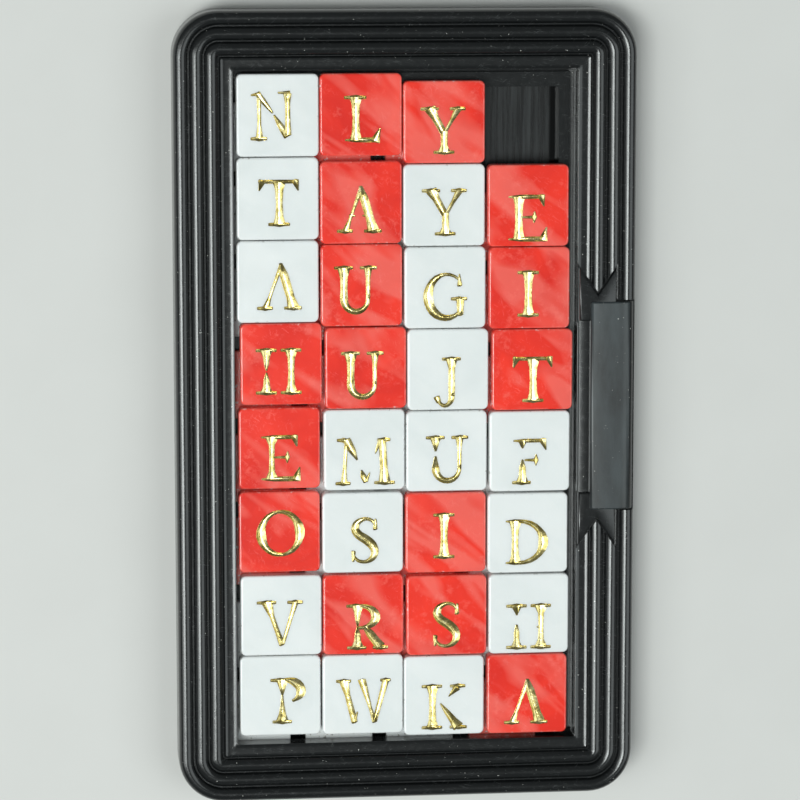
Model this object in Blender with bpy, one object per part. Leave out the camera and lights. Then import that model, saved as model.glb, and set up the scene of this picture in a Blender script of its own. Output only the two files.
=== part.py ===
"""Sliding letter-tile puzzle: a moulded bezel on a back plate, with 31 interlocking tiles in a 4 by 8 tray.

Metres, +Z up. The puzzle lies on its back: +Z points out of the face, +Y to the top row and +X to the
right-hand column. The origin is the middle of the back face.
"""

import math

import bmesh
import bpy

MM = 0.001

# Outline of the puzzle, 2 3/4 by 4 3/4 inches
WIDTH = 69.85 * MM
LENGTH = 120.65 * MM
CORNER_R = 6.85 * MM

# Tray that holds the tiles, at the level of their caps
TRAY_W = 52.0 * MM
TRAY_L = 102.0 * MM
ROWS = 8

# Heights above the back face
PLATE_T = 1.3 * MM
REBATE_Z = 1.6 * MM
FLANGE_LOW = 1.5 * MM
FLANGE_TOP = 3.2 * MM
CAP_LOW = 3.5 * MM
LIP_LOW = 3.6 * MM
CAP_TOP = 6.0 * MM
GROOVE_Z = 6.3 * MM
LAND_Z = 6.65 * MM
TAIL_Z = 7.3 * MM
PANEL_Z = 7.7 * MM
PAST_A_FACE = 1.0 * MM

# Border: three half-round reeds, then a flat land beside the tray
REED_COUNT = 3
REED_PITCH = 2.25 * MM
REED_R = 1.05 * MM
REED_Z = 6.15 * MM
LAND_EDGE = 0.45 * MM

# Tiles: a square cap on a square flange, which is set off to the left and down and so lies under the
# next caps
CAP = 12.35 * MM
CAP_R = 0.7 * MM
CAP_BEVEL = 0.22 * MM
FLANGE_OUT = 2.4 * MM
UNDERCUT = 4.45 * MM
FLANGE_R = 0.5 * MM
STEM_INSET = 0.25 * MM
TRACK = 2.6 * MM
LEDGE_CORNER_R = 0.8 * MM

# Back plate, let into a rebate under the bezel
REBATE_W = 63.0 * MM
REBATE_L = 114.0 * MM
REBATE_R = 2.0 * MM
PLATE_GAP = 0.3 * MM

# Ribbon plaque on the right-hand border
PANEL_IN = 28.0 * MM
PANEL_OUT = 34.6 * MM
PANEL_HALF = 15.9 * MM
TAIL_IN = 26.2 * MM
TAIL_OUT = 31.9 * MM
TAIL_FOLD = 13.2 * MM
TAIL_TIP = 21.2 * MM
NOTCH_X = 29.2 * MM
NOTCH_Y = 17.1 * MM
PLAQUE_LOW = 5.0 * MM
PLAQUE_BEVEL = 0.3 * MM

# Letters and colours, row by row from the top; a dot is the empty cell
LETTERS = ("NLY.", "TAYE", "AUGI", "HUJT", "EMUF", "OSID", "VRSH", "PWKA")
COLOURS = ("WRR.", "WRWR", "WRWR", "RRWR", "RWWW", "RWRW", "WRRW", "WWWR")

# Play between caps, in tenths of a millimetre. A row's list runs from the left wall, a column's from
# the bottom wall.
ROW_PLAY = ((5.0, 1.5, 2.0), (4.5, 2.0, 2.0, 4.5), (4.0, 3.0, 3.0, 5.0), (8.5, 4.5, 1.5, 5.5),
            (5.0, 5.5, 2.0, 4.0), (4.5, 3.5, 3.5, 2.5), (6.5, 2.0, 4.5, 3.0), (4.5, 3.0, 1.5, 5.0))
COLUMN_PLAY = ((8.0, 1.5, 6.0, 5.0, 5.0, 1.5, 1.5, 1.5), (7.0, 1.5, 3.5, 4.0, 1.5, 2.5, 1.5, 8.5),
               (2.5, 2.0, 5.0, 2.5, 1.5, 1.5, 1.5, 1.5), (2.0, 2.0, 2.5, 3.0, 2.0, 1.5, 1.5))
TENTH = 0.1 * MM
WELD = 0.005 * MM

BLACK = (0.012, 0.012, 0.013)
WHITE = (0.78, 0.80, 0.82)
RED = (0.72, 0.045, 0.03)


def clear_scene():
    for obj in list(bpy.data.objects):
        bpy.data.objects.remove(obj, do_unlink=True)


def new_collection(name):
    collection = bpy.data.collections.new(name)
    bpy.context.scene.collection.children.link(collection)
    return collection


def plastic(name, colour, roughness):
    material = bpy.data.materials.new(name)
    material.use_nodes = True
    shader = material.node_tree.nodes["Principled BSDF"]
    shader.inputs["Base Color"].default_value = (*colour, 1.0)
    shader.inputs["Roughness"].default_value = roughness
    shader.inputs["Metallic"].default_value = 0.0
    return material


def rounded_rectangle(low, high, radius, steps=5):
    """Points around a rectangle whose corners are arcs of this radius, anticlockwise."""
    points = []
    corners = ((high[0], high[1]), (low[0], high[1]), (low[0], low[1]), (high[0], low[1]))
    for turn, (x, y) in enumerate(corners):
        cx = x - math.copysign(radius, x - (low[0] + high[0]) / 2)
        cy = y - math.copysign(radius, y - (low[1] + high[1]) / 2)
        for step in range(steps + 1):
            angle = math.radians(90 * (turn + step / steps))
            points.append((cx + radius * math.cos(angle), cy + radius * math.sin(angle)))
    return points


def curve_to_mesh(obj):
    """A mesh object in place of a curve object, with its loose caps welded on."""
    bpy.context.view_layer.update()
    seen = obj.evaluated_get(bpy.context.evaluated_depsgraph_get())
    mesh = bpy.data.meshes.new_from_object(seen)
    mesh.name = obj.name
    solid = bpy.data.objects.new(obj.name + "_solid", mesh)
    solid.matrix_world = obj.matrix_world.copy()
    shape = bmesh.new()
    shape.from_mesh(mesh)
    bmesh.ops.remove_doubles(shape, verts=shape.verts, dist=WELD)
    bmesh.ops.recalc_face_normals(shape, faces=shape.faces)
    shape.to_mesh(mesh)
    shape.free()
    for collection in obj.users_collection:
        collection.objects.link(solid)
    name = obj.name
    bpy.data.objects.remove(obj, do_unlink=True)
    solid.name = name
    return solid


def curve(name, points, collection, dimensions):
    data = bpy.data.curves.new(name, "CURVE")
    data.dimensions = dimensions
    spline = data.splines.new("POLY")
    spline.points.add(len(points) - 1)
    for point, place in zip(spline.points, points):
        point.co = (place[0], place[1], 0.0, 1.0)
    spline.use_cyclic_u = True
    obj = bpy.data.objects.new(name, data)
    collection.objects.link(obj)
    return obj


def slab(name, points, low, high, collection, bevel=0.0):
    """A flat outline between two heights. With a bevel, both its rims are chamfered inside the outline."""
    obj = curve(name, points, collection, "2D")
    obj.data.fill_mode = "BOTH"
    obj.data.extrude = (high - low) / 2 - bevel
    obj.data.bevel_depth = bevel
    obj.data.bevel_resolution = 1
    obj.data.offset = -bevel
    obj.location.z = (low + high) / 2
    return curve_to_mesh(obj)


def ring(name, points, radius, height, collection):
    """A round rod bent into a closed ring."""
    obj = curve(name, points, collection, "3D")
    obj.data.bevel_depth = radius
    obj.data.bevel_resolution = 4
    obj.location.z = height
    return curve_to_mesh(obj)


def combine(obj, other, operation):
    """A Boolean modifier with another object, which is hidden from the model."""
    modifier = obj.modifiers.new(other.name, "BOOLEAN")
    modifier.operation = operation
    modifier.solver = "EXACT"
    modifier.object = other
    other.hide_render = True
    other.display_type = "WIRE"


def set_in_rectangle(inset):
    """The outline of the puzzle, moved inwards all round."""
    x = WIDTH / 2 - inset
    y = LENGTH / 2 - inset
    return rounded_rectangle((-x, -y), (x, y), CORNER_R - inset, 6)


def ribbon_tail(side):
    """The swallow-tailed ribbon end on one side of the panel: side is +1 above it and -1 below."""
    points = [(TAIL_IN, side * TAIL_FOLD), (TAIL_OUT, side * TAIL_FOLD), (TAIL_OUT, side * TAIL_TIP),
              (NOTCH_X, side * NOTCH_Y), (TAIL_IN, side * TAIL_TIP)]
    return points if side > 0 else points[::-1]


def make_bezel(parts, cutters):
    bezel = slab("bezel", set_in_rectangle(0.0), 0.0, GROOVE_Z, parts)
    for number in range(REED_COUNT):
        middle = (number + 0.5) * REED_PITCH
        reed = ring(f"reed_{number + 1}", set_in_rectangle(middle), REED_R, REED_Z, cutters)
        combine(bezel, reed, "UNION")
    x = WIDTH / 2 - REED_COUNT * REED_PITCH
    y = LENGTH / 2 - REED_COUNT * REED_PITCH
    land_shape = rounded_rectangle((-x, -y), (x, y), LAND_EDGE, 3)
    combine(bezel, slab("land", land_shape, PLAQUE_LOW, LAND_Z, cutters, LAND_EDGE), "UNION")
    for side, name in ((1, "ribbon_top"), (-1, "ribbon_bottom")):
        combine(bezel, slab(name, ribbon_tail(side), PLAQUE_LOW, TAIL_Z, cutters), "UNION")
    panel_shape = rounded_rectangle((PANEL_IN, -PANEL_HALF), (PANEL_OUT, PANEL_HALF), PLAQUE_BEVEL, 2)
    combine(bezel, slab("panel", panel_shape, PLAQUE_LOW, PANEL_Z, cutters, PLAQUE_BEVEL), "UNION")

    half_w = TRAY_W / 2
    half_l = TRAY_L / 2
    tray = ((-half_w, -half_l), (half_w, -half_l), (half_w, half_l), (-half_w, half_l))
    combine(bezel, slab("tray_opening", tray, FLANGE_TOP, PANEL_Z + PAST_A_FACE, cutters), "DIFFERENCE")
    track_low = (-half_w - TRACK, -half_l - TRACK)
    track_high = (half_w - TRACK, half_l - TRACK)
    track = rounded_rectangle(track_low, track_high, LEDGE_CORNER_R, 3)
    combine(bezel, slab("flange_track", track, REBATE_Z - PAST_A_FACE, LIP_LOW, cutters), "DIFFERENCE")
    rebate = rounded_rectangle((-REBATE_W / 2, -REBATE_L / 2), (REBATE_W / 2, REBATE_L / 2), REBATE_R, 3)
    combine(bezel, slab("plate_rebate", rebate, -PAST_A_FACE, REBATE_Z, cutters), "DIFFERENCE")
    bezel.data.materials.append(plastic("bezel_black", BLACK, 0.3))
    return bezel


def make_back_plate(parts):
    x = REBATE_W / 2 - PLATE_GAP
    y = REBATE_L / 2 - PLATE_GAP
    outline = rounded_rectangle((-x, -y), (x, y), REBATE_R - PLATE_GAP, 3)
    plate = slab("back_plate", outline, 0.0, PLATE_T, parts)
    plate.data.materials.append(plastic("plate_black", BLACK, 0.45))
    return plate


def tile_mesh(cutters):
    """One tile about the middle of its cap: cap, stem and offset flange in one moulding."""
    half = CAP / 2
    cap = slab("tile_cap", rounded_rectangle((-half, -half), (half, half), CAP_R, 3),
               CAP_LOW, CAP_TOP, cutters, CAP_BEVEL)
    low = -half - FLANGE_OUT
    high = half - UNDERCUT
    flange = slab("tile_flange", rounded_rectangle((low, low), (high, high), FLANGE_R, 2),
                  FLANGE_LOW, FLANGE_TOP, cutters)
    stem_low = -half + STEM_INSET
    stem_high = high - STEM_INSET
    stem_shape = rounded_rectangle((stem_low, stem_low), (stem_high, stem_high), STEM_INSET, 1)
    stem = slab("tile_stem", stem_shape, (FLANGE_LOW + FLANGE_TOP) / 2, (CAP_LOW + CAP_TOP) / 2, cutters)
    combine(cap, stem, "UNION")
    combine(cap, flange, "UNION")
    bpy.context.view_layer.update()
    seen = cap.evaluated_get(bpy.context.evaluated_depsgraph_get())
    mesh = bpy.data.meshes.new_from_object(seen)
    for vertex in mesh.vertices:
        vertex.co = cap.matrix_world @ vertex.co
    cap.hide_render = True
    cap.display_type = "WIRE"
    return mesh


def tile_place(row, column):
    """The middle of a tile's cap, from the play that separates it from the walls and its neighbours."""
    across = ROW_PLAY[row][:column + 1]
    x = -TRAY_W / 2 + sum(across) * TENTH + (column + 0.5) * CAP
    stacked = ROWS - row
    up = COLUMN_PLAY[column][:stacked]
    y = -TRAY_L / 2 + sum(up) * TENTH + (stacked - 0.5) * CAP
    return x, y


def make_tiles(parts, cutters):
    meshes = {}
    for key, name, colour in (("W", "tile_white", WHITE), ("R", "tile_red", RED)):
        mesh = tile_mesh(cutters) if not meshes else meshes["W"].copy()
        mesh.name = name
        mesh.materials.clear()
        mesh.materials.append(plastic(name + "_plastic", colour, 0.32))
        meshes[key] = mesh
    for row, (letters, colours) in enumerate(zip(LETTERS, COLOURS)):
        for column, (letter, colour) in enumerate(zip(letters, colours)):
            if letter == ".":
                continue
            name = f"tile_r{row + 1}c{column + 1}_{letter.lower()}"
            tile = bpy.data.objects.new(name, meshes[colour])
            tile.location = (*tile_place(row, column), 0.0)
            parts.objects.link(tile)


def main():
    clear_scene()
    parts = new_collection("sliding_tile_puzzle")
    cutters = new_collection("cutters")
    make_bezel(parts, cutters)
    make_back_plate(parts)
    make_tiles(parts, cutters)
    bpy.context.view_layer.update()


main()
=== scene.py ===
"""Sliding letter-tile puzzle: a reeded black bezel on a back plate, with 31 interlocking tiles.

Metres, +Z out of the playing face, +Y to the top row, +X to the right-hand column. The origin is the
middle of the back face. Sizes are named in mm and multiplied by MM where a mesh or a finish needs metres.
"""
import math

import bmesh
import bpy
from mathutils import Matrix, Vector


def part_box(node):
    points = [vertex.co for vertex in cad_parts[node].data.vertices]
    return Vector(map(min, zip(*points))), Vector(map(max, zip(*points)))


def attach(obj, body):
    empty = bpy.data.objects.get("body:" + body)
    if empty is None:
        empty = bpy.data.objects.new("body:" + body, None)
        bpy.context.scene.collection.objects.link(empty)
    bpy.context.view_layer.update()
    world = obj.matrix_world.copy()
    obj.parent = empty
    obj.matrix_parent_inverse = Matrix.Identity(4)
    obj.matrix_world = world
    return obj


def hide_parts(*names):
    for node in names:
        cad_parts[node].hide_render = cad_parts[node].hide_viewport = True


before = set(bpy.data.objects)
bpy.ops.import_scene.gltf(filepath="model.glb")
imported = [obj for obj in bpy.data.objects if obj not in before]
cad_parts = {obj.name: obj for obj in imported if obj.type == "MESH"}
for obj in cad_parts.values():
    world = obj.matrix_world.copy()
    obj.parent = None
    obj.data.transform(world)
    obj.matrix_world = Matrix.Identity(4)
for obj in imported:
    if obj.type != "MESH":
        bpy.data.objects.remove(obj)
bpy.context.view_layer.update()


# ---- Where it is seen from -------------------------------------------------------------------------
# The puzzle lies on its back and is seen from above, a little from its top edge and its left, through a
# long lens.
MM = 0.001
AIM = Vector((-0.97, 1.39, 6.0)) * MM
DISTANCE, LENS, SENSOR = 550, 163.4, 36.0
SPIN, FROM_LEFT, FROM_TOP = 0.928, 5.884, 8.604


def put(name, data):
    """A new object in the scene that holds this mesh, camera or light."""
    made = bpy.data.objects.new(name, data)
    bpy.context.scene.collection.objects.link(made)
    return made


turn = (Matrix.Rotation(math.radians(SPIN), 3, "Z") @ Matrix.Rotation(math.radians(FROM_LEFT), 3, "Y")
        @ Matrix.Rotation(math.radians(FROM_TOP), 3, "X")).transposed()
camera = put("camera", bpy.data.cameras.new("camera"))
camera.data.sensor_width = SENSOR
camera.data.lens = LENS
camera.data.clip_start = 0.01
camera.matrix_world = Matrix.Translation(AIM + turn @ Vector((0, 0, DISTANCE)) * MM) @ turn.to_4x4()
bpy.context.scene.camera = camera
bpy.context.scene.view_settings.view_transform = "Standard"


# ---- Bezel -----------------------------------------------------------------------------------------
# One black polystyrene moulding. Three half-round reeds run round it outside a shallow land, and the tray
# walls stand over the tracks that the tile flanges slide in. A blank ribbon is moulded on its right side.
HALF_W, HALF_L, CORNER_R, SIDE_TOP = 34.925, 60.325, 6.85, 5.2
TRAY_W, TRAY_L, WALL_LOW = 26.0, 51.0, 3.2
# how far in from the outer edge the grooves lie, and how high
GROOVES, GROOVE_Z = (0.0, 2.33, 4.59, 6.85), 6.3
REED_R, REED_Z, REED_LEAN, REED_STEPS = 1.06, 6.14, 81.0, 8
# the outermost reed is wider on its outer side and falls further there
OUTER_WIDEN, OUTER_SINK = 1.08, 0.6
LAND_Z, HOLLOW, BEAD, RIM, LAND_STEPS = 6.65, 0.12, 0.28, 0.07, 6
TRACK, TRACK_R, TRACK_LOW, TRACK_TOP, TRACK_LEAN = 2.6, 0.8, 0.5, 3.6, 0.7
LEDGE_W, LEDGE_L, LEDGE_R, LEDGE_GAP = 25.6, 50.7, 0.4, 0.06
REBATE_W, REBATE_L, REBATE_R, REBATE_TOP = 31.5, 57.0, 2.0, 1.6
CHANNEL, CHANNEL_LOW, RIBBON_BASE, ABOVE_ALL = 0.26, 6.35, 5.0, 8.0
PANEL_IN, PANEL_OUT, PANEL_LOW, PANEL_HIGH = 27.95, 34.6, -15.75, 16.1
PANEL_END, PANEL_DROP = 0.2, 0.18
TAIL_IN, TAIL_OUT, TAIL_START, TAIL_TIP, TAIL_TOP = 26.25, 31.9, 13.2, 21.2, 7.3
NOTCH = (29.1, 17.1)
BACKING_IN, BACKING_OUT, BACKING_END, BACKING_TOP = 26.3, 28.5, 13.4, 6.72

POLYSTYRENE_BLACK, SCRATCH_GREY = (0.0062, 0.0069, 0.0072), (0.11, 0.118, 0.12)
HIGHEST_GREY, DUST = (0.034, 0.043, 0.046), (0.62, 0.61, 0.57)


def rounded(low, high, radius, steps=5):
    """Points around a rectangle with round corners, anticlockwise from the corner at the top right."""
    points = []
    corners = ((high[0], high[1], -1, -1), (low[0], high[1], 1, -1), (low[0], low[1], 1, 1),
               (high[0], low[1], -1, 1))
    for number, (x, y, inward_x, inward_y) in enumerate(corners):
        for step in range(steps + 1):
            angle = math.radians(90 * (number + step / steps))
            points.append((x + radius * (inward_x + math.cos(angle)),
                           y + radius * (inward_y + math.sin(angle))))
    return points


def loft(name, rings):
    """A closed solid through rings of (outline, height), which all have the same number of points."""
    mesh = bpy.data.meshes.new(name)
    shape = bmesh.new()
    loops = [[shape.verts.new((x * MM, y * MM, height * MM)) for x, y in outline]
             for outline, height in rings]
    for lower, upper in zip(loops, loops[1:]):
        for number in range(len(lower)):
            after = (number + 1) % len(lower)
            shape.faces.new((lower[number], lower[after], upper[after], upper[number]))
    shape.faces.new(loops[0][::-1])
    shape.faces.new(loops[-1])
    bmesh.ops.recalc_face_normals(shape, faces=shape.faces)
    shape.to_mesh(mesh)
    shape.free()
    return put(name, mesh)


def carve(piece, tools, operation):
    """Boolean cuts or joins that are applied to the piece. The tools are used up."""
    for tool in tools:
        step = piece.modifiers.new(tool.name, "BOOLEAN")
        step.operation = operation
        step.solver = "EXACT"
        step.use_self = True
        step.object = tool
        step.material_mode = "TRANSFER"
        bpy.context.view_layer.update()
        seen = piece.evaluated_get(bpy.context.evaluated_depsgraph_get())
        mesh = bpy.data.meshes.new_from_object(seen)
        piece.modifiers.clear()
        old = piece.data
        piece.data = mesh
        bpy.data.meshes.remove(old)
        bpy.data.objects.remove(tool)


def finish_faces(piece, degrees):
    """Smooth shading that breaks at edges sharper than this."""
    piece.data.shade_smooth()
    piece.data.set_sharp_from_angle(angle=math.radians(degrees))


class Shade:
    """A value, colour or vector on its way through a material. Sums on values add Math nodes."""

    def __init__(self, tree, socket=None):
        self.tree = tree
        self.socket = socket

    def node(self, kind, settings=None, inputs=None, out=0):
        """Any shader node: its type, its settings, the values or links of its sockets, and its output."""
        made = self.tree.nodes.new("ShaderNode" + kind)
        for key, value in (settings or {}).items():
            if key == "stops":
                ramp = made.color_ramp
                while len(ramp.elements) < len(value):
                    ramp.elements.new(0.5)
                for element, (position, colour) in zip(ramp.elements, value):
                    element.position = position
                    element.color = (*colour, 1.0)
            else:
                setattr(made, key, value)
        for key, value in (inputs or {}).items():
            if isinstance(value, Shade):
                self.tree.links.new(value.socket, made.inputs[key])
            else:
                made.inputs[key].default_value = value
        return Shade(self.tree, made.outputs[out])

    def maths(self, operation, *values):
        return self.node("Math", {"operation": operation}, dict(enumerate(values)))

    def __add__(self, other):
        return self.maths("ADD", self, other)

    def __sub__(self, other):
        return self.maths("SUBTRACT", self, other)

    def __rsub__(self, other):
        return self.maths("SUBTRACT", other, self)

    def __mul__(self, other):
        return self.maths("MULTIPLY", self, other)

    __radd__ = __add__
    __rmul__ = __mul__

    def without_sign(self):
        return self.maths("ABSOLUTE", self)

    def larger(self, other):
        return self.maths("MAXIMUM", self, other)

    def clear_of(self, low, high):
        """0 below low, 1 above high, and a straight run between."""
        return self.node("MapRange", None, {"Value": self, "From Min": low, "From Max": high})

    def axis(self, number):
        """One coordinate of this place: 0 for X, 1 for Y, 2 for Z."""
        return self.node("SeparateXYZ", None, {"Vector": self}, out=number)

    def noise(self, scale, detail=3.0, rough=0.55, twist=0.0):
        return self.node("TexNoise", None, {"Vector": self, "Scale": scale, "Detail": detail,
                                            "Roughness": rough, "Distortion": twist})

    def stretched(self, x, y, z, degrees=0.0):
        """The same place in a frame that is turned about Z, then scaled."""
        turned = self.node("VectorRotate", {"rotation_type": "Z_AXIS"},
                           {"Vector": self, "Angle": math.radians(degrees)})
        return self.node("VectorMath", {"operation": "MULTIPLY"}, {0: turned, 1: (x, y, z)})

    def between(self, low, high):
        """The low colour where this mask is 0, the high one where it is 1."""
        return self.node("Mix", {"data_type": "RGBA"}, {"Factor": self, 6: (*low, 1.0), 7: (*high, 1.0)},
                         out=2)

    def blend(self, colour, amount):
        """This colour where amount is 0, the other one where it is 1."""
        return self.node("Mix", {"data_type": "RGBA"}, {"Factor": amount, 6: self, 7: (*colour, 1.0)}, out=2)


def new_finish(name):
    """A material, its shader, and the rest position as the start of its shader maths."""
    material = bpy.data.materials.new(name)
    material.use_nodes = True
    tree = material.node_tree
    place = Shade(tree).node("TexCoord", out=3)
    return material, tree.nodes["Principled BSDF"], place


def plug(shader, **values):
    """Sets or links the shader's own sockets."""
    for key, value in values.items():
        socket = shader.inputs[key.replace("_", " ")]
        if isinstance(value, Shade):
            value.tree.links.new(value.socket, socket)
        else:
            socket.default_value = value


def uneven(shader, height, strength, depth):
    """Lets the light fall on the surface as if it had this relief, depth mm deep."""
    plug(shader, Normal=height.node("Bump", None, {"Height": height, "Strength": strength,
                                                    "Distance": depth * MM}))


def scratched(place, degrees, length, width, share):
    """A mask of short fine scratches that run along one direction. Sizes in mm."""
    streaks = place.stretched(1 / (length * MM), 1 / (width * MM), 0.0, degrees).noise(1.0, 1.0, 0.4)
    return streaks.clear_of(1 - share, 1 - share + 0.03)


def border_ring(inset, height):
    """The border's outline this far in from its outer edge, at a height."""
    radius = max(CORNER_R - inset, 0.35)
    return rounded((-HALF_W + inset, -HALF_L + inset), (HALF_W - inset, HALF_L - inset), radius, 12), height


def border_rings():
    """The border's section: up the side, over the reeds and the land, and down the tray wall."""
    rings = [border_ring(0.25, 0.0), border_ring(0.07, 0.07), border_ring(0.0, 0.25),
             border_ring(0.0, SIDE_TOP)]
    for outer, inner in zip(GROOVES, GROOVES[1:]):
        for step in range(2 * REED_STEPS + 1):
            lean = math.radians(REED_LEAN * (step / REED_STEPS - 1))
            outside = outer == 0.0 and lean < 0
            sink = OUTER_SINK if outside else 0.0
            rings.append(border_ring((outer + inner) / 2
                                     + REED_R * math.sin(lean) * (OUTER_WIDEN if outside else 1.0),
                                     REED_Z + REED_R * math.cos(lean) - sink * (1 - math.cos(lean)) ** 2))
    rings.append(border_ring(GROOVES[-1] + 0.03, GROOVE_Z))
    tray_edge = HALF_W - TRAY_W
    start, end = GROOVES[-1] + BEAD, tray_edge - RIM
    for step in range(2 * LAND_STEPS + 1):
        across = step / LAND_STEPS - 1
        rings.append(border_ring((start + end) / 2 + across * (end - start) / 2,
                                 LAND_Z - HOLLOW * (1 - across ** 4)))
    return rings + [border_ring(tray_edge - 0.02, LAND_Z - 0.02), border_ring(tray_edge, LAND_Z - 0.08),
                    border_ring(tray_edge, LAND_Z - 0.2), border_ring(tray_edge, WALL_LOW)]


def block(name, half_w, half_l, radius, low, high):
    """A cutter about the middle with upright walls and round corners."""
    return loft(name, [(rounded((-half_w, -half_l), (half_w, half_l), radius), z) for z in (low, high)])


def grown(outline, amount):
    """The outline with each of its sides moved out by this much."""
    moved = []
    for number, point in enumerate(outline):
        point = Vector(point)
        before = point - Vector(outline[number - 1])
        after = Vector(outline[(number + 1) % len(outline)]) - point
        side_a = Vector((-before.y, before.x)).normalized()
        side_b = Vector((-after.y, after.x)).normalized()
        moved.append(tuple(point - (side_a + side_b) * amount / max(1 + side_a.dot(side_b), 0.2)))
    return moved


def ribbon(name, outline, low, high, bevel, grow=0.0):
    """A flat plaque with this outline and a soft rim at its top. It may be grown all round."""
    rows = [(grown(outline, grow), low), (grown(outline, grow), high - bevel)]
    for step in (1, 2, 3):
        angle = math.radians(30 * step)
        rows.append((grown(outline, grow - bevel * (1 - math.cos(angle))),
                     high - bevel + bevel * math.sin(angle)))
    return loft(name, rows)


def tail_outline(side):
    """One of the ribbon's two swallow tails. Side is 1 for the upper one and -1 for the lower one."""
    return [(TAIL_IN, TAIL_START * side), (TAIL_OUT, TAIL_START * side), (TAIL_OUT, TAIL_TIP * side),
            (NOTCH[0], NOTCH[1] * side), (TAIL_IN, TAIL_TIP * side)][::side]


def ribbon_panel():
    """The ribbon's middle: one section, drawn across it, that is sunk a little at its two ends."""
    face = [(PANEL_IN, RIBBON_BASE), (PANEL_OUT, RIBBON_BASE), (PANEL_OUT, 6.5), (34.5, 6.85), (34.2, 7.25),
            (33.8, 7.5), (33.3, 7.65), (32.8, 7.7), (28.45, 7.7), (28.25, 7.67), (28.07, 7.57), (27.97, 7.42),
            (PANEL_IN, 7.2)]
    sunk = [(across, height if height == RIBBON_BASE else height - PANEL_DROP) for across, height in face]
    panel = loft("panel", [(sunk, PANEL_LOW), (face, PANEL_LOW + PANEL_END), (face, PANEL_HIGH - PANEL_END),
                           (sunk, PANEL_HIGH)])
    # the section was drawn flat, so its height becomes Z and its length becomes Y
    panel.data.transform(Matrix(((1, 0, 0, 0), (0, 0, 1, 0), (0, 1, 0, 0), (0, 0, 0, 1))))
    panel.data.flip_normals()
    return panel


bezel = loft("bezel_moulding", border_rings())
track = loft("track", [(rounded((-TRAY_W - TRACK, -TRAY_L - TRACK),
                                (TRAY_W - TRACK + lean, TRAY_L - TRACK + lean), TRACK_R), z)
                       for z, lean in ((TRACK_LOW, TRACK_LEAN), (TRACK_TOP, 0.0))])
ledge_gap = block("ledge_gap", TRAY_W + LEDGE_GAP, TRAY_L + LEDGE_GAP, LEDGE_R, 2.2, 3.4)
carve(ledge_gap, [block("ledge_core", LEDGE_W, LEDGE_L, LEDGE_R, 2.0, 3.6)], "DIFFERENCE")
rebate = block("rebate", REBATE_W, REBATE_L, REBATE_R, -1.0, REBATE_TOP)
panel_outline = [(PANEL_IN, PANEL_LOW), (PANEL_OUT, PANEL_LOW), (PANEL_OUT, PANEL_HIGH),
                 (PANEL_IN, PANEL_HIGH)]
backing_outline = [(BACKING_IN, -BACKING_END), (BACKING_OUT, -BACKING_END), (BACKING_OUT, BACKING_END),
                   (BACKING_IN, BACKING_END)]
channels = [ribbon("ribbon_channel", outline, CHANNEL_LOW, ABOVE_ALL, 0.05, CHANNEL)
            for outline in (tail_outline(1), tail_outline(-1), panel_outline)]
tails = [ribbon("tail", tail_outline(side), RIBBON_BASE, TAIL_TOP, 0.3) for side in (1, -1)]
backing = ribbon("backing", backing_outline, RIBBON_BASE, BACKING_TOP, 0.05)
carve(bezel, channels, "DIFFERENCE")
carve(bezel, tails + [backing, ribbon_panel()], "UNION")
carve(bezel, [track, ledge_gap, rebate], "DIFFERENCE")
finish_faces(bezel, 40)

gloss_black, shader, place = new_finish("bezel_gloss_black")
grime = place.noise(900, 6, 0.62)
wear = scratched(place, 12, 2.2, 0.045, 0.31) + scratched(place, -38, 1.6, 0.05, 0.3)
marks = (wear * grime.clear_of(0.42, 0.6)).clear_of(0, 1)
dust = place.noise(3300, 1, 0.5).clear_of(0.785, 0.8)
# the parts that stand highest, the ribbon's top, are paler grey in mottled patches and rougher
highest_parts = place.axis(2).clear_of(7.32 * MM, 7.5 * MM)
high_patches = place.stretched(330, 90, 1).noise(1.0, 4, 0.6).clear_of(0.35, 0.65)
tint = (marks * 0.5).between(POLYSTYRENE_BLACK, SCRATCH_GREY)
tint = tint.blend(HIGHEST_GREY, highest_parts * (high_patches * 0.8 + 0.2)).blend(DUST, dust)
plug(shader, Base_Color=tint, Roughness=grime * 0.12 + 0.14 + marks * 0.15 + highest_parts * 0.17, IOR=1.59)
ripple = place.noise(420, 2, 0.5) * 0.4 + place.noise(3300, 2, 0.5) * 0.06
uneven(shader, ripple + wear * 0.02, 0.35, 0.12)
bezel.data.materials.clear()
bezel.data.materials.append(gloss_black)
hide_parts("bezel")
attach(bezel, "frame")


# ---- Back plate ------------------------------------------------------------------------------------
# A thin black sheet that is let into the back of the bezel. Its front is the floor that the flanges
# slide on, and years of play have drawn grey streaks along it.
PLATE_BLACK, STREAK_GREY = (0.0045, 0.0049, 0.005), (0.020, 0.023, 0.024)
SHADOW_BLACK = (0.0008, 0.0008, 0.0008)
# painted shadow: right of here the floor is painted deep black, unstreaked and glossier, standing in for the
# shade under the ledge at the tray's right side
SHADOW_FROM, SHADOW_TO = 22.2, 22.6

satin_black, shader, place = new_finish("plate_satin_black")
streaks = place.stretched(1500, 55, 1).noise(1.0, 5, 0.65)
# painted shadow mask: the band along the right of the floor
painted_shadow = place.axis(0).clear_of(SHADOW_FROM * MM, SHADOW_TO * MM)
tint = (streaks.clear_of(0.42, 0.72) * (1 - painted_shadow)).between(PLATE_BLACK, STREAK_GREY)
plug(shader, Base_Color=tint.blend(SHADOW_BLACK, painted_shadow), Roughness=streaks * 0.25 + 0.16 - painted_shadow * 0.24,
     IOR=1.5)
uneven(shader, streaks, 0.3, 0.03)
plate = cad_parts["back_plate"]
plate.data.materials.clear()
plate.data.materials.append(satin_black)


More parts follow.
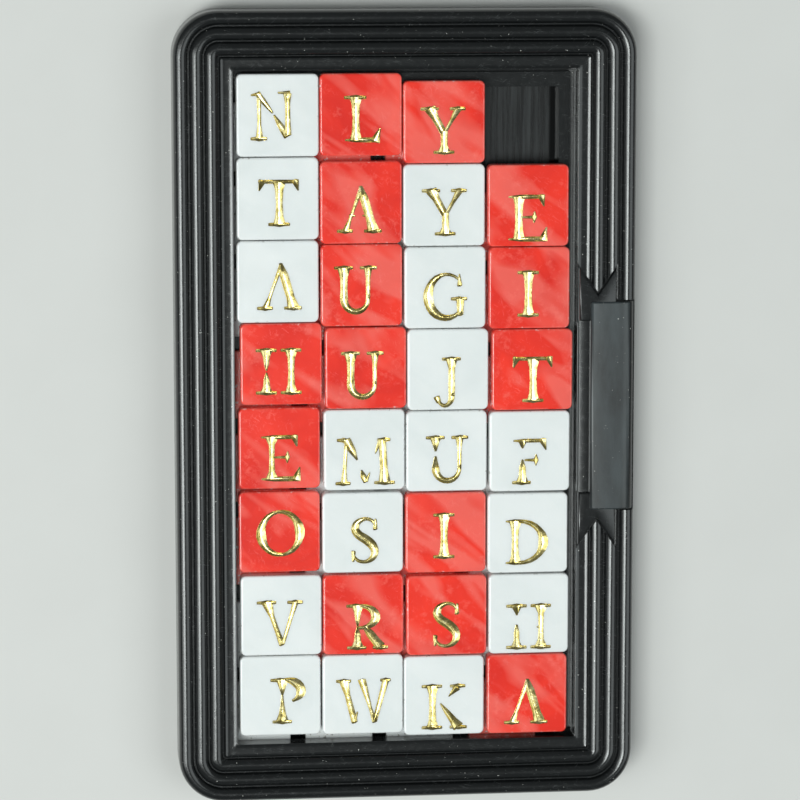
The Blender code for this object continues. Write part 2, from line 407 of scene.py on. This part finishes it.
# ---- Tiles -----------------------------------------------------------------------------------------
# Each tile is one polystyrene moulding: a square cap, a short stem, and a square flange that is set off
# to the left and down, so that it lies under the next caps.
CAP, CAP_LOW, CAP_TOP, CAP_R, CAP_SOFT, CAP_CHAMFER = 12.35, 3.5, 6.0, 0.82, 0.3, 0.12
FLANGE_LOW, FLANGE_TOP, FLANGE_OUT, FLANGE_R = 1.5, 3.2, 2.4, 0.5
# how far the flange stops short of the cap's right and top sides
UNDERCUT = 4.45


def square(low, high, radius, height):
    """A square ring with round corners, at a height."""
    return rounded((low, low), (high, high), radius), height


def tile_blank():
    """A tile about its cap's middle, before its letter is cut."""
    half = CAP / 2
    low, high = -half - FLANGE_OUT, half - UNDERCUT
    rows = [square(low + 0.1, high - 0.1, 0.4, FLANGE_LOW), square(low, high, FLANGE_R, FLANGE_LOW + 0.1),
            square(low, high, FLANGE_R, FLANGE_TOP - 0.12),
            square(low + 0.12, high - 0.12, 0.4, FLANGE_TOP),
            square(-half + 0.3, high - 0.3, 0.25, FLANGE_TOP),
            square(-half + 0.3, high - 0.3, 0.25, CAP_LOW),
            square(-half + CAP_CHAMFER, half - CAP_CHAMFER, CAP_R - CAP_CHAMFER, CAP_LOW),
            square(-half, half, CAP_R, CAP_LOW + CAP_CHAMFER)]
    for step in range(6):
        angle = math.radians(18 * step)
        inset = CAP_SOFT * (1 - math.cos(angle))
        rows.append(square(-half + inset, half - inset, CAP_R - inset,
                           CAP_TOP - CAP_SOFT + CAP_SOFT * math.sin(angle)))
    rows.append(square(-half + CAP_SOFT + 0.1, half - CAP_SOFT - 0.1, 0.35, CAP_TOP))
    return loft("tile_blank", rows)


def tile_plastic(name, body, worn_and_sheen, chip, rim_wear, scuff_wear, sheen_and_rub, glow, glow_reach):
    """Moulded polystyrene that is rubbed paler along its rims, carries fine scratches, and has a painted
    sheen in pale diagonal bands.
    """
    material, shader, place = new_finish(name)
    cap_place = place.node("Attribute", {"attribute_name": "cap_place"}, out=1)
    reach = cap_place.axis(0).without_sign().larger(cap_place.axis(1).without_sign())
    rim = reach + place.noise(700, 5, 0.65) * 0.9 * MM
    rim = rim.clear_of((CAP / 2 + 0.18) * MM, (CAP / 2 + 0.5) * MM)
    cloud = place.noise(110, 3, 0.5, 0.8)
    # painted sheen: broad pale diagonal bands across the tiles stand in for reflections
    painted_sheen = place.stretched(60, 190, 60, 40).noise(1.0, 2, 0.5, 0.5).clear_of(0.48, 0.6)
    rubbed = place.noise(420, 5, 0.7).clear_of(0.55, 0.72)
    scuffs = (scratched(place, 34, 1.9, 0.05, 0.3) + scratched(place, -52, 1.3, 0.04, 0.29)
              + scratched(place, 78, 2.4, 0.06, 0.28))
    scuffs = (scuffs * place.noise(260, 2, 0.5).clear_of(0.4, 0.62)).clear_of(0, 1)
    chips = place.noise(1500, 3, 0.5).clear_of(0.62, 0.66) * rim
    tint = cloud.clear_of(0.3, 0.7).between(*body)
    # the pale colour serves both the painted sheen and the rubbed wear
    tint = tint.blend(worn_and_sheen, painted_sheen * sheen_and_rub).blend(worn_and_sheen, rubbed * sheen_and_rub * 0.8)
    tint = tint.blend(worn_and_sheen, rim * rim_wear).blend(worn_and_sheen, scuffs * scuff_wear).blend(chip, chips)
    plug(shader, Base_Color=tint, Roughness=cloud * 0.14 + 0.12 + scuffs * 0.2, IOR=1.55)
    plug(shader, Subsurface_Weight=glow, Subsurface_Radius=glow_reach, Subsurface_Scale=0.9 * MM)
    uneven(shader, cloud * 1.1 + place.noise(1600, 2, 0.5) * 0.05 + scuffs * -0.05, 0.5, 0.1)
    return material


# the pale colour is shared by wear and the painted sheen, and one strength sets both the painted sheen and
# the rubbed patches
PLASTICS = {
    "W": tile_plastic("tile_white_plastic", body=((0.765, 0.785, 0.78), (0.81, 0.825, 0.82)),
                      worn_and_sheen=(0.86, 0.86, 0.85), chip=(0.42, 0.41, 0.38), rim_wear=0.35, scuff_wear=0.1,
                      sheen_and_rub=0.3, glow=0.45, glow_reach=(1.0, 0.97, 0.93)),
    "R": tile_plastic("tile_red_plastic", body=((0.75, 0.030, 0.020), (0.94, 0.040, 0.018)),
                      worn_and_sheen=(0.95, 0.22, 0.18), chip=(0.85, 0.55, 0.52), rim_wear=0.6, scuff_wear=0.5,
                      sheen_and_rub=0.5, glow=0.25, glow_reach=(1.0, 0.3, 0.2)),
}


# ---- Letters ---------------------------------------------------------------------------------------
# A plain roman capital is cut into each cap with a V-shaped tool and filled with gold leaf. Thick
# strokes are cut wide and deep, thin ones are hairlines, and the leaf has gone from some of them.
LETTER_SCALE = (0.96, 0.95)
# depth of the cut for its width, and the deepest it goes
STEEP, DEEPEST = 0.34, 0.42
# how far the tool stands above the cap, and how much more for each stroke, so that no two tops are level
PROUD, STAGGER = 0.05, 0.003
# where the V's sides bend, as shares of its depth and half width, and how far left its bottom line lies
CHEEK_DEPTH, CHEEK_HALF, KEEL_LEFT = 0.74, 0.5, 0.3
LONGEST_POINT = 0.22
LEAF_STOPS = ((0.3, (0.40, 0.31, 0.09)), (0.5, (0.70, 0.58, 0.24)), (0.7, (0.86, 0.76, 0.42)))
LEAF_THICK = 0.02


def line(x0, y0, x1, y1, *widths):
    """A straight stroke, with its width at even steps along it."""
    last = len(widths) - 1
    return [(x0 + (x1 - x0) * step / last, y0 + (y1 - y0) * step / last, width)
            for step, width in enumerate(widths)]


def bow(x, y, across, up, start, end, *widths):
    """A stroke along an ellipse between two angles, in degrees anticlockwise from the right."""
    count = max(4, int(abs(end - start) / 14))
    stroke = []
    for step in range(count + 1):
        along = step / count
        angle = math.radians(start + (end - start) * along)
        at = along * (len(widths) - 1)
        lower = min(int(at), len(widths) - 2)
        share = at - lower
        share = share * share * (3 - 2 * share)
        stroke.append((x + across * math.cos(angle), y + up * math.sin(angle),
                       widths[lower] * (1 - share) + widths[lower + 1] * share))
    return stroke


def eased(points):
    """The same stroke, with two more places between each two, on a smooth curve through them all."""
    drawn = []
    for number in range(len(points) - 1):
        before, start, end, after = (Vector(points[min(max(number + shift, 0), len(points) - 1)])
                                     for shift in (-1, 0, 1, 2))
        for step in range(3):
            along = step / 3
            drawn.append(tuple(start + (end - before) * along * 0.5
                               + (before * 2 - start * 5 + end * 4 - after) * along ** 2 * 0.5
                               + (start * 3 - before - end * 3 + after) * along ** 3 * 0.5))
    return drawn + [points[-1]]


def serif(x, y, length):
    """A short flat stroke across a stem's end, widest in its middle."""
    return line(x - length / 2, y, x + length / 2, y, 0.5, 0.6, 0.85, 0.6, 0.5)


def stem(x, high=3.4, waist=1.05):
    """An upright stroke that is waisted in the middle and flared where it meets its serifs."""
    low, flare = -3.4, 2.1
    return [(x, high, flare), (x, high - 0.5, flare * 0.8), (x, high - 1.3, waist * 1.2),
            (x, high - (high - low) / 2, waist), (x, low + 1.3, waist * 1.2), (x, low + 0.5, flare * 0.8),
            (x, low, flare)]


def a_legs():
    """The two legs of an A. Only one tile has kept any leaf in the bar between them."""
    return [line(0.25, 3.3, -2.15, -3.4, 0.7, 0.6, 0.5, 0.55, 1.1),
            line(0.2, 3.6, 2.2, -3.4, 0.6, 1.35, 1.35, 1.3, 1.9),
            serif(-2.25, -3.45, 2.3), serif(2.15, -3.45, 2.6)]


def e_strokes(waist):
    """An E, with its stem this narrow in the middle."""
    return [stem(-1.35, waist=waist), line(-2.95, 3.4, 2.4, 3.4, 0.3, 0.7, 0.7, 0.6),
            line(2.2, 3.55, 2.6, 1.9, 1.2, 0.25), line(-0.9, 0.15, 1.1, 0.15, 0.35, 0.55),
            line(1.15, 1.05, 1.05, -0.75, 0.2, 0.85, 0.2),
            line(-2.95, -3.35, 2.7, -3.35, 0.3, 0.8, 0.85, 0.8), line(2.5, -3.5, 3.05, -1.5, 1.5, 0.25)]


def h_serifs():
    """The four serifs of an H. Its bar and its stems have worn differently on each tile."""
    return [serif(x, y, 3.1) for x in (-1.95, 1.95) for y in (-3.4, 3.4)]


def u_ends():
    """The right stroke of a U, and the serifs of both strokes."""
    return [line(1.9, 3.4, 1.9, -1.5, 1.3, 0.7, 0.65, 0.65), serif(2.0, 3.45, 2.5), serif(-1.9, 3.45, 2.8)]


def u_bowl():
    return bow(0.0, -1.5, 1.9, 2.05, 180, 360, 1.25, 0.95, 0.65)


# The strokes of each letter, in mm about the middle of its box
CAPITALS = {
    "A": a_legs(),
    "D": [stem(-1.75, waist=1.0), bow(-1.0, 0.0, 3.8, 3.4, 92, -92, 0.6, 0.9, 1.6, 0.9, 0.6),
          line(-3.2, 3.4, -0.6, 3.4, 0.3, 0.7, 0.6), line(-3.2, -3.4, -0.6, -3.4, 0.3, 0.7, 0.6)],
    "E": e_strokes(1.1),
    "F": [line(-1.2, 0.3, -1.2, -3.4, 0.35, 1.05, 1.1, 2.1), line(-1.2, 3.4, -1.2, 2.2, 1.5, 0.35),
          serif(-1.3, -3.4, 2.8), line(-2.6, 3.4, 2.2, 3.4, 0.3, 0.65, 0.65, 0.6),
          line(2.0, 3.55, 2.55, 1.9, 1.2, 0.25), line(-0.8, 0.25, 1.0, 0.25, 0.35, 0.6),
          line(1.0, 1.15, 0.95, -0.65, 0.2, 0.85, 0.2)],
    "G": [bow(0.1, 0.0, 2.95, 3.5, 52, 310, 0.45, 0.55, 1.1, 1.55, 1.45, 1.0, 0.6),
          line(2.1, 3.5, 2.15, 1.7, 0.25, 0.85), line(2.25, -0.5, 2.25, -3.0, 1.3, 1.1, 1.0),
          serif(2.1, -0.45, 2.4)],
    "H": h_serifs() + [stem(1.95, waist=0.8), line(1.3, -0.1, 1.9, -0.1, 0.25, 0.5),
                       line(-1.95, 3.4, -1.95, 1.9, 1.8, 0.3),
                       line(-1.95, 0.3, -1.95, -3.4, 0.4, 0.9, 0.9, 1.9)],
    "I": [stem(0.0), serif(0.0, 3.4, 3.2), serif(0.0, -3.4, 3.2)],
    "J": [line(0.75, 3.8, 0.75, -2.2, 1.9, 1.05, 1.0, 1.05, 1.0),
          bow(-0.35, -2.2, 1.1, 1.5, 0, -140, 1.0, 0.7, 0.55), line(-1.3, -3.1, -1.6, -2.4, 0.8, 1.0),
          serif(0.75, 3.8, 2.8)],
    "K": [stem(-1.9, waist=1.0), serif(-1.95, 3.4, 3.1), serif(-1.95, -3.4, 3.1),
          line(2.1, 3.2, 0.7, 1.7, 1.2, 0.7, 0.2), line(-0.6, 0.5, 2.3, -3.4, 0.3, 0.85, 1.2, 1.9),
          serif(2.2, 3.4, 2.3), serif(2.3, -3.4, 2.6)],
    "L": [stem(-1.05), serif(-1.1, 3.35, 3.3), line(-2.7, -3.35, 2.3, -3.35, 0.3, 0.75, 0.8, 0.8),
          line(2.0, -3.45, 2.75, -1.5, 1.5, 0.25)],
    "M": [line(-2.9, 3.4, -3.3, -3.4, 0.6, 0.55, 0.6, 1.1), serif(-3.4, -3.5, 2.2), serif(-3.3, 3.5, 1.9),
          line(-2.8, 3.45, -1.2, 0.3, 1.3, 1.2, 0.3), line(-0.5, -1.4, 0.1, -3.3, 0.3, 1.0, 0.7),
          line(2.45, 3.35, 1.7, 1.3, 0.75, 0.5, 0.2), line(0.8, -1.8, 0.25, -3.1, 0.2, 0.65),
          line(2.8, 3.4, 3.2, -3.4, 1.2, 1.2, 1.2, 2.0), serif(3.2, -3.45, 3.1), serif(3.1, 3.5, 1.9)],
    "N": [line(-2.1, 2.9, -2.05, -3.5, 0.7, 0.6, 0.6, 1.2), line(-3.3, 3.3, -1.9, 3.5, 0.3, 0.8),
          serif(-2.1, -3.55, 2.4), line(-2.3, 3.5, 0.0, 0.5, 0.9, 0.95, 0.7, 0.35),
          line(0.25, 0.1, 2.3, -3.2, 0.35, 0.8, 1.1, 1.2),
          line(2.35, 3.5, 2.4, -3.0, 1.3, 0.8, 0.8, 0.9, 1.1), line(0.9, 3.65, 2.7, 3.65, 0.3, 0.7)],
    "O": [bow(0.0, 0.0, 3.1, 3.5, start, start + 180, 0.55, 0.95, 1.6, 0.95, 0.55) for start in (98, -82)],
    "P": [line(-0.9, 3.4, -0.9, 1.0, 1.9, 1.1, 0.35), line(-0.9, 0.9, -0.9, -3.4, 0.35, 0.6, 1.1, 2.1),
          bow(-0.5, 1.6, 2.6, 1.85, 95, -60, 0.6, 1.5, 1.5, 0.5), serif(-1.3, 3.4, 2.7),
          serif(-0.9, -3.45, 2.9)],
    "R": [line(-1.5, 3.4, -1.5, 0.05, 1.9, 1.1, 0.8, 0.3), line(-1.5, -0.05, -1.5, -3.4, 0.3, 0.9, 1.1, 2.1),
          bow(-1.1, 1.6, 2.5, 1.8, 95, -95, 0.6, 1.5, 0.55), line(-0.3, -0.1, 2.2, -3.4, 0.8, 1.35, 1.4, 1.7),
          serif(-1.8, 3.4, 2.7), serif(-1.6, -3.45, 2.9), serif(2.2, -3.45, 2.3)],
    "S": [eased([(1.7, 2.3, 0.35), (1.2, 3.2, 0.55), (0.1, 3.5, 0.6), (-1.1, 2.95, 1.0), (-1.5, 1.9, 1.3),
                 (-0.9, 0.9, 1.4), (0.2, 0.15, 1.5), (1.2, -0.75, 1.45), (1.65, -1.9, 1.2),
                 (1.2, -2.95, 0.95), (0.1, -3.5, 0.6), (-1.1, -3.25, 0.55), (-1.75, -2.4, 0.35)]),
          line(1.75, 3.4, 1.7, 1.8, 0.4, 0.75), line(-1.8, -3.4, -1.75, -1.8, 0.4, 0.75)],
    "T": [stem(0.1, high=3.2), serif(0.1, -3.4, 3.2), line(-3.0, 3.35, 3.0, 3.35, 0.6, 0.65, 0.6),
          line(-2.55, 3.5, -3.05, 1.95, 1.2, 0.25), line(2.6, 3.5, 3.05, 1.95, 1.2, 0.25)],
    "U": u_ends() + [line(-1.9, 3.4, -1.9, -1.5, 2.1, 1.2, 1.1, 1.25), u_bowl()],
    "V": [line(-2.2, 3.4, 0.15, -3.5, 1.7, 0.8, 0.8, 1.0), line(2.3, 3.4, 0.3, -3.3, 1.0, 0.65, 0.6, 0.6),
          serif(-2.25, 3.4, 2.9), serif(2.3, 3.4, 2.3)],
    "W": [line(-3.3, 3.4, -1.6, -3.4, 1.5, 0.9, 1.0, 1.0), line(-1.15, -1.7, -1.6, -3.2, 0.25, 0.6),
          line(-0.4, 3.5, 1.6, -3.4, 1.3, 0.9, 0.55, 0.8), line(3.4, 3.4, 1.6, -3.3, 1.1, 0.85, 0.8),
          serif(-3.3, 3.4, 2.2), serif(3.4, 3.45, 1.5)],
    "Y": [line(-2.1, 3.4, 0.0, -0.4, 1.8, 1.2, 1.15, 1.1), line(2.2, 3.4, 0.15, -0.3, 1.1, 0.6, 0.55),
          line(0.05, -0.1, 0.05, -3.4, 1.1, 1.05, 1.1, 2.1), serif(-2.2, 3.45, 2.7), serif(2.2, 3.45, 2.3),
          serif(0.05, -3.4, 3.1)],
}
# Letters that look different from their fellows on one tile, by row and letter
ODD_ONES = {
    (2, "A"): [line(-1.5, -1.0, -0.7, -1.0, 0.5, 0.25), line(0.5, -1.0, 1.0, -1.0, 0.25, 0.4)] + a_legs(),
    (5, "E"): e_strokes(0.8),
    (4, "H"): h_serifs() + [stem(1.95, waist=0.95), line(-1.95, 3.4, -1.95, 0.15, 2.1, 1.1, 0.8, 0.25),
                            line(-1.95, -0.15, -1.95, -3.4, 0.25, 0.9, 1.1, 2.1)],
    (5, "U"): u_ends() + [line(-1.9, 3.4, -1.9, 1.3, 1.8, 1.0, 0.4),
                           line(-1.9, 0.4, -1.9, -1.5, 0.4, 1.2), u_bowl()],
}
# How far each letter stands from the middle of its cap, left to right in each row
LETTER_AT = (((-0.7, -0.1), (0.3, -0.6), (0.0, -1.3)),
             ((0.2, -0.6), (-0.2, -1.0), (0.2, -1.1), (-0.1, -1.9)),
             ((0.3, -0.7), (-0.8, -0.6), (0.2, -1.3), (-0.1, -0.9)),
             ((-0.3, -1.1), (-0.4, -1.0), (-0.1, -2.0), (0.1, -1.5)),
             ((0.2, -1.5), (0.1, -1.8), (0.2, -1.2), (0.1, -1.6)),
             ((0.2, -0.2), (0.3, -1.2), (-0.2, -0.5), (-0.2, -1.4)),
             ((0.0, -1.2), (0.6, -1.9), (0.0, -1.5), (0.1, -2.0)),
             ((1.2, -0.8), (0.3, -1.1), (0.1, -1.8), (-0.1, -1.2)))
COLOURS = ("WRR.", "WRWR", "WRWR", "RRWR", "RWWW", "RWRW", "WRRW", "WWWR")


def v_tool(strokes, x, y):
    """A cutter with a V section under every stroke, deeper where the stroke is wider."""
    mesh = bpy.data.meshes.new("letter_cut")
    shape = bmesh.new()
    for number, stroke in enumerate(strokes):
        above = PROUD + STAGGER * number
        points = [Vector((across * LETTER_SCALE[0], up * LETTER_SCALE[1])) for across, up, _ in stroke]
        sections = []
        for index, (at, (_, _, width)) in enumerate(zip(points, stroke)):
            ahead = points[min(index + 1, len(points) - 1)] - points[max(index - 1, 0)]
            side = Vector((-ahead.y, ahead.x)).normalized()
            sections.append((at, side, width / 2 + above * 0.5, -min(width * STEEP, DEEPEST)))
        ends = []
        for (at, side, half, _), out in ((sections[0], points[0] - points[1]),
                                         (sections[-1], points[-1] - points[-2])):
            ends.append((at + out.normalized() * min(half * 0.5, LONGEST_POINT), side, half, above * 0.98))
        rows = []
        for at, side, half, deep in (ends[0], *sections, ends[1]):
            cheek = above + (deep - above) * CHEEK_DEPTH
            keel = at - Vector((half * KEEL_LEFT, 0.0))
            corners = ((*(at + side * half), above), (*(at - side * half), above),
                       (*(keel - side * half * CHEEK_HALF), cheek), (*keel, deep),
                       (*(keel + side * half * CHEEK_HALF), cheek))
            rows.append([shape.verts.new(((x + cx) * MM, (y + cy) * MM, (CAP_TOP + cz) * MM))
                         for cx, cy, cz in corners])
        for lower, upper in zip(rows, rows[1:]):
            for corner in range(5):
                after = (corner + 1) % 5
                shape.faces.new((lower[corner], lower[after], upper[after], upper[corner]))
        shape.faces.new(rows[0][::-1])
        shape.faces.new(rows[-1])
    bmesh.ops.triangulate(shape, faces=shape.faces)
    bmesh.ops.recalc_face_normals(shape, faces=shape.faces)
    shape.to_mesh(mesh)
    shape.free()
    return put("letter_cut", mesh)


def put_in_order(elements, place):
    """Numbers a mesh's points or faces by where they are, so that every run numbers them alike."""
    ranks = {element: rank for rank, element in enumerate(sorted(elements, key=place))}
    elements.sort(key=lambda element: ranks[element])


def lift_leaf(name, tile, gilded):
    """The leaf in a tile's letter, as a thin piece of its own: the faces with the gilded material."""
    leaf = put(name, tile.data.copy())
    shape = bmesh.new()
    shape.from_mesh(leaf.data)
    bare = [face for face in shape.faces if face.material_index != gilded]
    bmesh.ops.delete(shape, geom=bare, context="FACES")
    bmesh.ops.solidify(shape, geom=shape.faces, thickness=-LEAF_THICK * MM)
    bmesh.ops.recalc_face_normals(shape, faces=shape.faces)
    put_in_order(shape.verts, lambda point: tuple(point.co))
    put_in_order(shape.faces, lambda face: sorted(tuple(point.co) for point in face.verts))
    for face in shape.faces:
        face.material_index = 0
    shape.to_mesh(leaf.data)
    shape.free()
    leaf.data.materials.clear()
    leaf.data.materials.append(gold_leaf)
    finish_faces(leaf, 48)
    return leaf


def finish_tile(tile, gilded, x, y):
    """Leaves plastic only, notes each point's place on its cap, and keeps the rims of the cut crisp."""
    cut_edges = set()
    for face in tile.data.polygons:
        if face.material_index == gilded:
            cut_edges.update(face.edge_keys)
        face.material_index = 0
    while len(tile.data.materials) > 1:
        tile.data.materials.pop()
    places = tile.data.attributes.new("cap_place", "FLOAT_VECTOR", "POINT")
    for vertex, value in zip(tile.data.vertices, places.data):
        value.vector = (vertex.co.x - x * MM, vertex.co.y - y * MM, vertex.co.z)
    finish_faces(tile, 30)
    for edge in tile.data.edges:
        if edge.key in cut_edges:
            edge.use_edge_sharp = True


gold_leaf, shader, place = new_finish("letter_gold_leaf")
patch = place.noise(900, 3, 0.55)
plug(shader, Base_Color=patch.node("ValToRGB", {"stops": LEAF_STOPS}, {"Fac": patch}), Metallic=1.0,
     Roughness=patch * 0.2 + 0.16)
uneven(shader, place.noise(1300, 2, 0.5, 0.6), 0.35, 0.12)

blank = tile_blank()
for node in sorted(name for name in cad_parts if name.startswith("tile_")):
    row, column, letter = int(node[6]), int(node[8]), node[-1].upper()
    high_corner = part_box(node)[1]
    x, y = high_corner[0] / MM - CAP / 2, high_corner[1] / MM - CAP / 2
    colour = COLOURS[row - 1][column - 1]
    tile = put(node + "_moulding", blank.data.copy())
    tile.data.transform(Matrix.Translation((x * MM, y * MM, 0.0)))
    tile.data.materials.append(PLASTICS[colour])
    right, up = LETTER_AT[row - 1][column - 1]
    tool = v_tool(ODD_ONES.get((row, letter), CAPITALS[letter]), x + right, y + up)
    tool.data.materials.append(gold_leaf)
    carve(tile, [tool], "DIFFERENCE")
    gilded = [slot.material == gold_leaf for slot in tile.material_slots].index(True)
    leaf = lift_leaf(node + "_gilding", tile, gilded)
    finish_tile(tile, gilded, x, y)
    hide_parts(node)
    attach(tile, node)
    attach(leaf, node)
bpy.data.objects.remove(blank)


# ---- Floor and light -------------------------------------------------------------------------------
# A pale sheet under the puzzle. A strong soft lamp overhead to the left, a wider one lower beside it and a
# weak one at the right draw the bright lines along the reeds.
FLOOR_HALF, FLOOR_COLOURS = 3, ((0.62, 0.61, 0.59), (0.66, 0.65, 0.63))
LAMP_LEAN, LAMP_AWAY = 8.5, 1.1
LEFT_TINT, RIGHT_TINT = (0.94, 1.0, 0.985), (0.92, 1.0, 1.0)
ROOM_TINT, ROOM_STRENGTH = (0.8, 0.87, 0.88, 1), 0.18


def lamp(name, degrees, spread, length, radiance, tint):
    """A soft box at this angle from overhead (left is negative), which looks at the puzzle."""
    light = bpy.data.lights.new(name, "AREA")
    light.shape = "RECTANGLE"
    light.size, light.size_y = (2 * LAMP_AWAY * math.tan(math.radians(angle / 2))
                                for angle in (spread, length))
    light.energy = radiance * math.pi * light.size * light.size_y
    light.color = tint
    holder = put(name, light)
    holder.matrix_world = (Matrix.Rotation(math.radians(LAMP_LEAN), 4, "X")
                           @ Matrix.Rotation(math.radians(degrees), 4, "Y")
                           @ Matrix.Translation((0, 0, LAMP_AWAY)))


pale_sheet, shader, place = new_finish("pale_sheet")
plug(shader, Base_Color=place.noise(60, 4).between(*FLOOR_COLOURS), Roughness=0.75)
sheet = bpy.data.meshes.new("floor")
sheet.from_pydata([(-FLOOR_HALF, -FLOOR_HALF, 0), (FLOOR_HALF, -FLOOR_HALF, 0), (FLOOR_HALF, FLOOR_HALF, 0),
                   (-FLOOR_HALF, FLOOR_HALF, 0)], [], [(0, 1, 2, 3)])
sheet.materials.append(pale_sheet)
put("floor", sheet)

lamp("left_lamp", -19, 26, 18, 13.2, LEFT_TINT)
lamp("left_fill", -43, 28, 36, 2.6, LEFT_TINT)
lamp("right_lamp", 38, 42, 40, 1.7, RIGHT_TINT)
world = bpy.data.worlds.new("room")
world.use_nodes = True
background = world.node_tree.nodes["Background"]
background.inputs["Color"].default_value = ROOM_TINT
background.inputs["Strength"].default_value = ROOM_STRENGTH
bpy.context.scene.world = world
